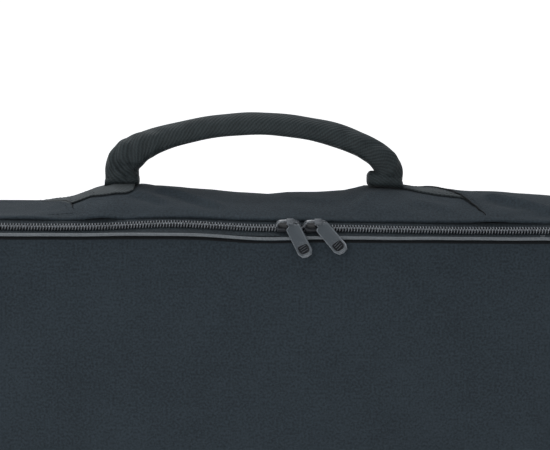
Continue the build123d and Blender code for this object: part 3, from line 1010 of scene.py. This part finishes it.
def make_foot_rolls():
    """The webbing folded back under each leg, as a short roll lying along the bag."""
    sides = 40
    for name, line in FOOT_ROLLS.items():
        path = spline([(x * MM, EDGE_Z + z * MM, r * MM) for x, z, r in line], 46)
        rings, us = [], []
        for i, (x, z, radius) in enumerate(path):
            ring = []
            for k in range(sides):
                angle = 2 * pi * k / sides
                c, s = cos(angle), sin(angle)
                spiral = 0.7 * MM * smooth(((angle / (2 * pi) + 0.35) % 1.0) / 0.9)
                bulge = radius + spiral - 0.4 * MM + ruffle(x, c * 0.01, s * 0.01, 0.007, 0.5 * MM)
                ring.append(Vector((x, MID_Y - 1.7 * bulge * c - 1 * MM, z + bulge * s)))
            rings.append(ring)
            us.append(i * 0.6 * MM)
        vs = [k * MM for k in range(sides)]
        roll = grid(f"handle_foot_roll_{name}", rings, us, vs, MAT["webbing"], loop_v=True)
        close_ends(roll)
        bend_with_handle(roll)


# half width of the sewn webbing at places along it, both in mm
STRAP_WIDTHS = {
    "right": [(111, 4), (117, 9), (126, 15), (136, 19.5), (148, 23), (158, 25), (180, 25)],
    "left": [(91, 22), (97, 25.5), (112, 27), (126, 25), (180, 25)],
}
# the cross seams that hold the webbing's ends: y, x in mm
CROSS_SEAMS = {
    "right": [(-44, 176), (-17, 159.5), (15, 139), (45, 121), (60, 113)],
    "left": [(-44, 131), (-17, 138), (15, 158), (60, 174)],
}


def cross_seam(name, y):
    """How far from the middle of the bag a cross seam is, at a place across the gusset."""
    ys, xs = zip(*CROSS_SEAMS[name])
    return float(np.interp(y / MM, ys, xs)) * MM


def strap_point(side, name, share, v, lift):
    """A place on the sewn webbing: share 0 at the foot, 1 at the cross seam; v is -1 at the front."""
    places, widths = zip(*STRAP_WIDTHS[name])
    start = places[0] * MM
    x = start + share * (0.150 - start)
    half = float(np.interp(x / MM, places, widths)) * MM
    y = MID_Y + v * half
    x = start + share * (cross_seam(name, y) + 1.5 * MM - start)
    gathered = 1 - half / STRIP_HALF
    hump = gathered * 1.2 * MM * (1 + cos(3 * pi * v)) * 0.5
    return Vector((side * x, y, strap_top(side * x, y) - 0.5 * MM + lift + hump))


def make_strap_ends():
    """The flat ends of the handle's webbing, running from the feet to the cross seams."""
    for name, side in SIDES:
        shares = np.linspace(0, 1, 40)
        vs = np.linspace(-1, 1, 30)
        points = []
        for share in shares:
            lifts = [0.3 * MM + ruffle(share / 20, v / 50, 2.0, 0.012, 0.2 * MM) for v in vs]
            points.append([strap_point(side, name, share, v, lift) for v, lift in zip(vs, lifts)])
        us, across = [share * 60 * MM for share in shares], [v * STRIP_HALF for v in vs]
        strap = grid(f"handle_strap_end_{name}", points, us, across, MAT["strap"])
        outward_up(strap)
        thicken(strap, STRAP, offset=1.0)
        round_edges(strap, 0.4 * MM)
        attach(strap, "shell")
        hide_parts(f"handle_end_{name}")


def on_gusset(x, y, lift):
    return Vector((x, y, EDGE_Z + top_rise(x, y) + lift))


# the cloth patches: height over the webbing in mm, the share of the half width over which they
# come down at the sides, and the radius in mm of the near-black cord along the folded edge, a painted shadow
PATCHES = {"right": (2.3, 0.04, 0.75), "left": (1.9, 0.55, 0.35)}
PATCH_ROWS, PATCH_COLS = 24, 56


def patch_row(name, side, share):
    """A row of places on a patch; share is 0 at its folded edge and 1 at its far edge."""
    over, fade, _ = PATCHES[name]
    row = []
    for v in np.linspace(-1, 1, PATCH_COLS):
        y = MID_Y + v * (HALF_Y - 1.0 * MM)
        x = side * (cross_seam(name, y) + share * 46 * MM + 0.4 * MM * sin(v * 40) * (1 - share))
        on_strap = 1 - smooth((abs(y - MID_Y) - STRIP_HALF) / (5 * MM))
        fold = 1.5 * MM + (over * MM - 1.5 * MM) * on_strap
        height = fold * (1 - smooth(share / 0.8)) - 0.7 * MM * share
        height = -0.6 * MM + (height + 0.6 * MM) * smooth((1 - abs(v)) / fade)
        row.append(on_gusset(x, y, height))
    return row


def make_patches():
    """The cloth sewn over the webbing's ends, with its folded edge along each cross seam."""
    for name, side in SIDES:
        points = [patch_row(name, side, share) for share in np.linspace(0, 1, PATCH_ROWS)]
        us, vs = [k * 2 * MM for k in range(PATCH_ROWS)], [k * 1.8 * MM for k in range(PATCH_COLS)]
        patch = grid(f"handle_patch_cloth_{name}", points, us, vs, MAT["cloth"])
        outward_up(patch)
        thicken(patch, 0.8 * MM)
        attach(patch, "shell")
        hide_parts(f"handle_patch_{name}")
        edge = [point + Vector((0, 0, 0.15 * MM)) for point in points[2]]
        # a near-black cord along the folded edge: painted shadow of the fold
        shadow_cord = [point + Vector((-0.3 * MM * side, 0, 0.1 * MM)) for point in points[0][1:-1]]
        shadow_cord = tube(f"handle_patch_shadow_cord_{name}", shadow_cord, PATCHES[name][2] * MM, 8, MAT["seam"])
        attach(shadow_cord, "shell")
        lines = stitch_line(edge, [(0, -0.1, 1)] * PATCH_COLS, pitch=3.2 * MM, length=2.3 * MM)
        lines += strap_stitches(name, side)
        seam = joined(f"handle_stitches_{name}", lines, MAT["thread"])
        outward(seam)
        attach(seam, "shell")


def strap_stitches(name, side):
    """A box of stitches with a cross, on the sewn end of the webbing."""
    corners = [(0.94, -0.84), (0.58, -0.84), (0.58, 0.84), (0.94, 0.84)]
    runs = list(zip(corners, corners[1:] + corners[:1]))
    runs += [(corners[0], corners[2]), (corners[1], corners[3])]
    result = []
    for (a_share, a_v), (b_share, b_v) in runs:
        count = 16
        points = []
        for k in range(count + 1):
            share, v = a_share + (b_share - a_share) * k / count, a_v + (b_v - a_v) * k / count
            points.append(strap_point(side, name, share, v, 0.3 * MM + STRAP))
        result += stitch_line(points, [(0, 0, 1)] * (count + 1), pitch=3.0 * MM, length=2.2 * MM)
    return result


# ---------------------------------------------------------------- sliders and pulls
def band_matrix(x):
    """Places local X along the zip, Y up the band and Z out of it, at the middle of the chain."""
    y, h = band(CHAIN_AT, 0.0)
    return Matrix(((1, 0, 0, x), (0, T_Y, -T_H, y), (0, T_H, T_Y, Z_C + h), (0, 0, 0, 1)))


def lofted(name, outlines, material, levels=1):
    """A closed body from stacked outlines with the same number of points."""
    verts = [p for ring in outlines for p in ring]
    first, between, last = ring_faces(len(outlines), len(outlines[0]))
    obj = mesh_object(name, verts, [first] + between + [last], None, material)
    outward(obj)
    if levels:
        modifier = obj.modifiers.new("smooth", "SUBSURF")
        modifier.levels = modifier.render_levels = levels
    return apply_modifiers(obj)


def slider_outline(half_length, nose, inset):
    """Plan of a slider plate: broad rounded nose at one end, narrower tail at the other."""
    wide, narrow, steps = 5.4 * MM, 4.5 * MM, 10
    points = []
    for k in range(steps + 1):
        a = pi / 2 - pi * k / steps
        x = half_length - wide * 0.55 + wide * 0.55 * cos(a) - inset
        points.append((nose * x, (wide - inset) * sin(a)))
    for k in range(steps + 1):
        a = -pi / 2 - pi * k / steps
        x = -half_length + narrow * 0.4 + narrow * 0.4 * cos(a) + inset
        points.append((nose * x, (narrow - inset) * sin(a)))
    return points


def make_slider(name):
    """Slider body with its side lips, and the arched bail that the pull hangs from."""
    lo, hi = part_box(f"slider_{name}_body")
    x = (lo.x + hi.x) / 2
    half = (hi.x - lo.x) / 2
    nose = 1 if name == "left" else -1
    place_in = band_matrix(x)
    body = f"slider_{name}"
    layers = []
    for z, inset in ((1.1, 0.5), (1.3, 0.1), (2.7, 0.0), (3.5, 0.05), (4.1, 0.55), (4.35, 1.6)):
        layers.append([(px, py, z * MM) for px, py in slider_outline(half, nose, inset * MM)])
    top = lofted(f"{body}_shell", layers, MAT["slider"])
    hollow_lips(top)
    top.data.transform(place_in)
    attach(top, body)
    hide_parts(f"slider_{name}_body")
    bail = make_bail(f"{body}_bail_arch")
    bail.data.transform(place_in)
    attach(bail, body)
    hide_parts(f"slider_{name}_bail")


def hollow_lips(obj):
    """Raises the middle of the slider's underside, so that the coil runs between two lips."""
    for vertex in obj.data.vertices:
        _, y, z = vertex.co
        if z < 1.6 * MM and abs(y) < 4.1 * MM:
            vertex.co.z = 2.75 * MM


def make_bail(name):
    """A flat strap of metal bent into an arch along the zip."""
    reach, rise = 8.3 * MM, BAIL_AT
    line = spline([(-reach, 3.6 * MM), (-reach + 0.2 * MM, 5.4 * MM), (-reach + 2.4 * MM, rise + 0.2 * MM),
                   (0, rise + 0.7 * MM), (reach - 2.4 * MM, rise + 0.2 * MM), (reach - 0.2 * MM, 5.4 * MM),
                   (reach, 3.6 * MM)], 40)
    rings = []
    for i, (x, z) in enumerate(line):
        before, after = line[max(i - 1, 0)], line[min(i + 1, len(line) - 1)]
        tangent = Vector((after[0] - before[0], 0, after[1] - before[1])).normalized()
        out = Vector((-tangent.z, 0, tangent.x))
        end = abs(i / (len(line) - 1) * 2 - 1)
        wide = (1.35 + 0.9 * end**3) * MM
        thick = 0.95 * MM
        ring = []
        for k in range(16):
            a = 2 * pi * k / 16
            c, s = cos(a), sin(a)
            shape = Vector((0, wide * squared(c, 0.7), 0)) + out * (thick * squared(s, 0.7))
            ring.append(tuple(Vector((x, 0, z)) + shape))
        rings.append(ring)
    return lofted(name, rings, MAT["bail"])


PULL_LENGTH, PULL_HALF, PULL_THICK = 30.5 * MM, 5.5 * MM, 1.6 * MM


def pull_outline(inset):
    """The blade's outline: one side down from the eye, the chamfered end, the other side up."""
    half, end = PULL_HALF - inset, PULL_LENGTH - inset
    top = 4.4 * MM + inset
    left = [(-2.6 * MM + inset, 1.5 * MM), (-2.9 * MM + inset, top - 0.9 * MM),
            (-half + 1.0 * MM, top - 0.4 * MM), (-half + 0.2 * MM, top + 0.3 * MM),
            (-half, top + 1.4 * MM), (-half, end - 9 * MM), (-half, end - 4.2 * MM)]
    tip = []
    for k in range(1, 4):
        a = pi * k / 4
        tip.append((-half * cos(a) * 0.93, end - 2.9 * MM + 2.9 * MM * sin(a)))
    return left + tip + [(-x, y) for x, y in reversed(left)]


def recess_outline(scale):
    """The D-shaped recess near the blade's end."""
    points, steps = [], 20
    middle = PULL_LENGTH - 6.4 * MM
    for k in range(steps):
        a = 2 * pi * k / steps
        x = 4.3 * MM * scale * squared(cos(a), 0.6)
        y = 3.8 * MM * scale * squared(sin(a), 0.35 if sin(a) < 0 else 1.1)
        points.append((x, middle + y))
    return points


def make_blade(name):
    """The blade with its rounded rim, and the recess cut into its face."""
    half = PULL_THICK / 2
    rings = []
    for z, inset in ((-half, 0.55), (-half + 0.25 * MM, 0.12), (-half + 0.55 * MM, 0.0),
                     (half - 0.5 * MM, 0.0), (half - 0.18 * MM, 0.12), (half, 0.4),
                     (half, 0.85), (half - 0.28 * MM, 1.1)):
        rings.append([(px, -py, z) for px, py in pull_outline(inset * MM)])
    blade = lofted(name, rings, MAT["pull"], levels=0)
    rings = []
    for z, scale in ((half - 0.75 * MM, 0.86), (half - 0.2 * MM, 0.97),
                     (half + 0.2 * MM, 1.06), (half + 1 * MM, 1.1)):
        rings.append([(px, -py, z) for px, py in recess_outline(scale)])
    cutter = lofted("cutter", rings, MAT["slider"], levels=0)
    modifier = blade.modifiers.new("recess", "BOOLEAN")
    modifier.object = cutter
    modifier.operation = "DIFFERENCE"
    apply_modifiers(blade)
    bpy.data.objects.remove(cutter)
    round_edges(blade, 0.16 * MM)
    paint_recess_shade(blade, half - 0.6 * MM)
    return blade


def paint_recess_shade(blade, floor_level):
    """Paints shade into the recess: its floor and lower walls get the slider's darker enamel."""
    blade.data.materials.append(MAT["slider"])
    for polygon in blade.data.polygons:
        c = polygon.center
        inside = abs(c.x) < 4.4 * MM and -PULL_LENGTH + 2.6 * MM < c.y < -PULL_LENGTH + 10 * MM
        if inside and 0 < c.z < floor_level + 0.1 * MM:
            polygon.material_index = 1


def make_pull(name):
    """A die-cast pull: knuckle round the bail, blade with a rounded rim and a ribbed recess."""
    joint = JOINTS[f"pull_{name}_swing"]
    lo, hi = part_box(f"slider_{name}_body")
    pivot = Vector(joint["pos_m"])
    pivot.x = (lo.x + hi.x) / 2 + 1.5 * MM
    lean = radians(25 if name == "left" else 38)
    hang = radians(31)
    blade = make_blade(f"pull_{name}_blade")
    floor = PULL_THICK / 2 - 0.55 * MM
    # the ribs on the recess floor take the slider's darker enamel too, as painted shade
    pieces = [ridge(-PULL_LENGTH + (4.6 + 1.8 * k) * MM, floor) for k in range(3)]
    ribs = joined(f"pull_{name}_ribs", pieces, MAT["slider"])
    knuckle = make_knuckle(f"pull_{name}_knuckle")
    turned = Matrix.Rotation(lean, 4, "Z")
    hanging = Matrix(((1, 0, 0, pivot.x), (0, sin(hang), -cos(hang), pivot.y),
                      (0, cos(hang), sin(hang), pivot.z), (0, 0, 0, 1)))
    for piece in (blade, ribs):
        piece.data.transform(hanging @ turned)
    knuckle.data.transform(hanging)
    for piece in (blade, ribs, knuckle):
        outward(piece)
        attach(piece, f"pull_{name}")
    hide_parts(f"pull_{name}")


def ridge(y, z):
    """A fine slanting rib on the floor of the recess."""
    x0, x1, width, height, tilt = -2.6 * MM, 2.6 * MM, 0.35 * MM, 0.35 * MM, 0.9 * MM
    verts = []
    for w, level in ((width, z), (width * 0.4, z + height)):
        verts += [(x0, y - w, level), (x1, y - w + tilt, level),
                  (x1, y + w + tilt, level), (x0, y + w, level)]
    return verts, [(0, 3, 2, 1), (4, 5, 6, 7), (0, 1, 5, 4), (1, 2, 6, 5), (2, 3, 7, 6), (3, 0, 4, 7)]


def make_knuckle(name):
    """The eye of the pull: a ring of flat metal rolled round the bail."""
    # the flat metal's section: place along the bail and radius, in mm
    section = ((-2.4, 1.5), (2.4, 1.5), (2.5, 1.7), (2.5, 2.3), (2.2, 2.55), (-2.2, 2.55),
               (-2.5, 2.3), (-2.5, 1.7))
    steps, sides = 28, len(section)
    verts, faces = [], []
    for r in range(steps):
        a = 2 * pi * r / steps
        verts += [(px * MM, pr * MM * cos(a), pr * MM * sin(a)) for px, pr in section]
    for r in range(steps):
        for k in range(sides):
            r2, k2 = (r + 1) % steps, (k + 1) % sides
            faces.append((r * sides + k, r * sides + k2, r2 * sides + k2, r2 * sides + k))
    return mesh_object(name, verts, faces, None, MAT["eye"])


# ---------------------------------------------------------------- inside
def finish_cad(node, material):
    obj = frame["nodes"][node]
    obj.data.materials.clear()
    obj.data.materials.append(material)


def make_inside():
    """Lining, bindings, retaining straps and the zip's end tabs."""
    for node, key in (
        ("gusset_lining", "lining"), ("back_lining", "lining"), ("front_lining", "lining"),
        ("front_lining_foot", "lining"), ("back_binding", "binding"), ("front_binding", "binding"),
        ("retaining_straps", "webbing"), ("loop_patches", "loop"), ("hook_patches", "loop"),
        ("zip_end_tabs", "binding"),
    ):
        finish_cad(node, MAT[key])


# ---------------------------------------------------------------- floor, light, camera
def make_stage():
    """A wide pale floor that glows a little, so that it reads as a white studio floor."""
    reach = 60.0
    corners = [(-reach, -reach, 0), (reach, -reach, 0), (reach, reach, 0), (-reach, reach, 0)]
    floor = mesh_object("floor", corners, [(0, 1, 2, 3)])
    paint = Nodes("floor_paint")
    mottle = paint.noise(paint.coordinates("Object"), 1.5, 2.0)
    shade = paint.ramp(mottle, 0.3, 0.7, (0.90, 0.90, 0.90), (0.93, 0.93, 0.93))
    paint.shader.inputs["Emission Color"].default_value = (1, 1, 1, 1)
    paint.shader.inputs["Emission Strength"].default_value = 0.75
    floor.data.materials.append(paint.finish(shade, 0.8, 0.1))
    world = bpy.data.worlds.new("studio")
    world.use_nodes = True
    sky_light(world.node_tree)
    bpy.context.scene.world = world
    for name, place_at, target, size, power in (
        ("top_softbox", (-0.5, 0.3, 2.0), (0, 0, 0.35), 1.2, 24),
        ("front_softbox", (-1.3, -1.7, 1.3), (0, 0, 0.35), 1.0, 12),
    ):
        light = bpy.data.lights.new(name, "AREA")
        light.size = size
        light.energy = power
        lamp = bpy.data.objects.new(name, light)
        bpy.context.scene.collection.objects.link(lamp)
        lamp.location = place_at
        lamp.rotation_euler = (Vector(target) - Vector(place_at)).to_track_quat("-Z", "Y").to_euler()


def sky_light(tree):
    """Soft overhead studio light: white near the horizon, dimmer above."""
    height = tree.nodes.new("ShaderNodeSeparateXYZ")
    tree.links.new(tree.nodes.new("ShaderNodeTexCoord").outputs["Generated"], height.inputs[0])
    ramp = tree.nodes.new("ShaderNodeValToRGB")
    ramp.color_ramp.elements[0].position = 0.03
    ramp.color_ramp.elements[0].color = (1.1, 1.1, 1.1, 1)
    ramp.color_ramp.elements[1].position = 0.12
    ramp.color_ramp.elements[1].color = (0.385, 0.40, 0.42, 1)
    tree.links.new(height.outputs["Z"], ramp.inputs[0])
    tree.links.new(ramp.outputs[0], tree.nodes["Background"].inputs[0])


def make_camera():
    elevation, roll, distance = radians(8), radians(0.50), 1.10
    target = Vector((0.0165, -0.050, 0.3868))
    back = Vector((0, -cos(elevation), sin(elevation)))
    camera = bpy.data.objects.new("camera", bpy.data.cameras.new("camera"))
    bpy.context.scene.collection.objects.link(camera)
    camera.matrix_world = (Matrix.Translation(target + back * distance)
                           @ (-back).to_track_quat("-Z", "Y").to_matrix().to_4x4()
                           @ Matrix.Rotation(roll, 4, "Z"))
    camera.data.sensor_width = 36
    camera.data.lens = 98
    camera.data.clip_start = 0.01
    bpy.context.scene.camera = camera


bpy.context.scene.view_settings.view_transform = "Standard"
make_stage()
make_camera()
make_gusset()
make_lower_band()
make_panels()
make_piping()
make_tape("zip_tape_upper", CHAIN_AT + 0.3 * MM, BAND_WIDTH - 0.6 * MM, "shell", "zip_tape_gusset")
make_tape("zip_tape_lower", 0.9 * MM, CHAIN_AT - 0.3 * MM, "lid", "zip_tape_panel")
make_chain()
make_bar_tack()
make_edge_stitches()
make_handle()
make_foot_rolls()
make_strap_ends()
make_patches()
for slider_name in ("left", "right"):
    make_slider(slider_name)
    make_pull(slider_name)
make_inside()

bpy.context.view_layer.update()
